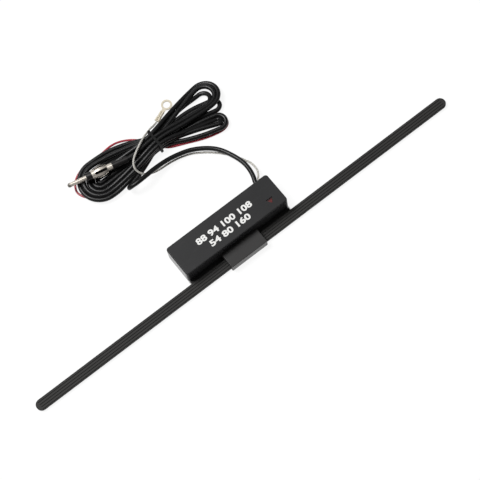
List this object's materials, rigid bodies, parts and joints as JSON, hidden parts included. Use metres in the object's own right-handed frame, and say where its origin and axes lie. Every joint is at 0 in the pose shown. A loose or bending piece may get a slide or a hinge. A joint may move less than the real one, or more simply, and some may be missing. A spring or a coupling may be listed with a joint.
{
  "type": "hidden radio antenna",
  "caption": "Stick-on car radio antenna: a long ribbed strip clipped to a small amplifier housing, with a tied coax lead, an antenna plug, a power wire and a ground ring.",
  "frame": {"origin": "under the middle of the strip, clip and housing, on the surface that they stick to", "axes": "+X along the strip, +Y from the strip towards the lead, +Z away from the surface"},
  "size_m": [0.356, 0.1343, 0.0147],
  "materials": {
    "housing_plastic": "matt moulded, dark grey",
    "clip_plastic": "matt moulded, warm dark grey",
    "strip_plastic": "satin extruded, black",
    "adhesive_foam": "foam tape, off white",
    "lens_red": "dark red window",
    "board_laminate": "bare laminate, tan",
    "copper": "bare copper",
    "led_red": "clear red",
    "component_black": "moulded, black",
    "ferrite": "ferrite, dark grey",
    "capacitor_blue": "shrunk sleeve, dark blue",
    "capacitor_tan": "dipped, tan",
    "resistor_tan": "lacquered, tan",
    "screw_steel": "plated",
    "bush_rubber": "moulded, black",
    "coax_jacket": "soft jacket, black, slight sheen",
    "power_jacket": "jacket, crimson",
    "ground_jacket": "clear jacket over tinned strands",
    "tie_black": "coated wire, black",
    "plug_nickel": "nickel plate",
    "plug_black": "moulded, black",
    "terminal_plate": "tinned brass, pale gold"
  },
  "bodies": {
    "root": {"antenna_strip": "strip_plastic", "strip_tape": "adhesive_foam", "element_wire_left": "copper", "element_wire_right": "copper", "strip_clip": "clip_plastic", "housing_cover": "housing_plastic", "indicator_lens": "lens_red", "base_plate": "housing_plastic", "housing_pad": "adhesive_foam", "housing_screws": "screw_steel", "circuit_board": "board_laminate", "indicator_led": "led_red", "rf_transistor": "component_black", "choke_coil": "ferrite", "electrolytic_capacitor": "capacitor_blue", "ceramic_capacitor_1": "capacitor_tan", "ceramic_capacitor_2": "capacitor_tan", "ceramic_capacitor_3": "capacitor_tan", "resistor_1": "resistor_tan", "resistor_2": "resistor_tan", "resistor_3": "resistor_tan", "cable_bush": "bush_rubber", "coax_tail": "coax_jacket", "ground_tail": "ground_jacket", "power_tail": "power_jacket", "plug_boot": "plug_black", "plug_shell": "plug_nickel", "plug_insulator": "plug_black", "plug_pin": "plug_nickel", "ring_terminal": "terminal_plate", "coax_hank": "coax_jacket", "cable_tie": "tie_black", "coax_lead": "coax_jacket", "power_wire": "power_jacket", "ground_wire": "ground_jacket"}
  },
  "joints": []
}
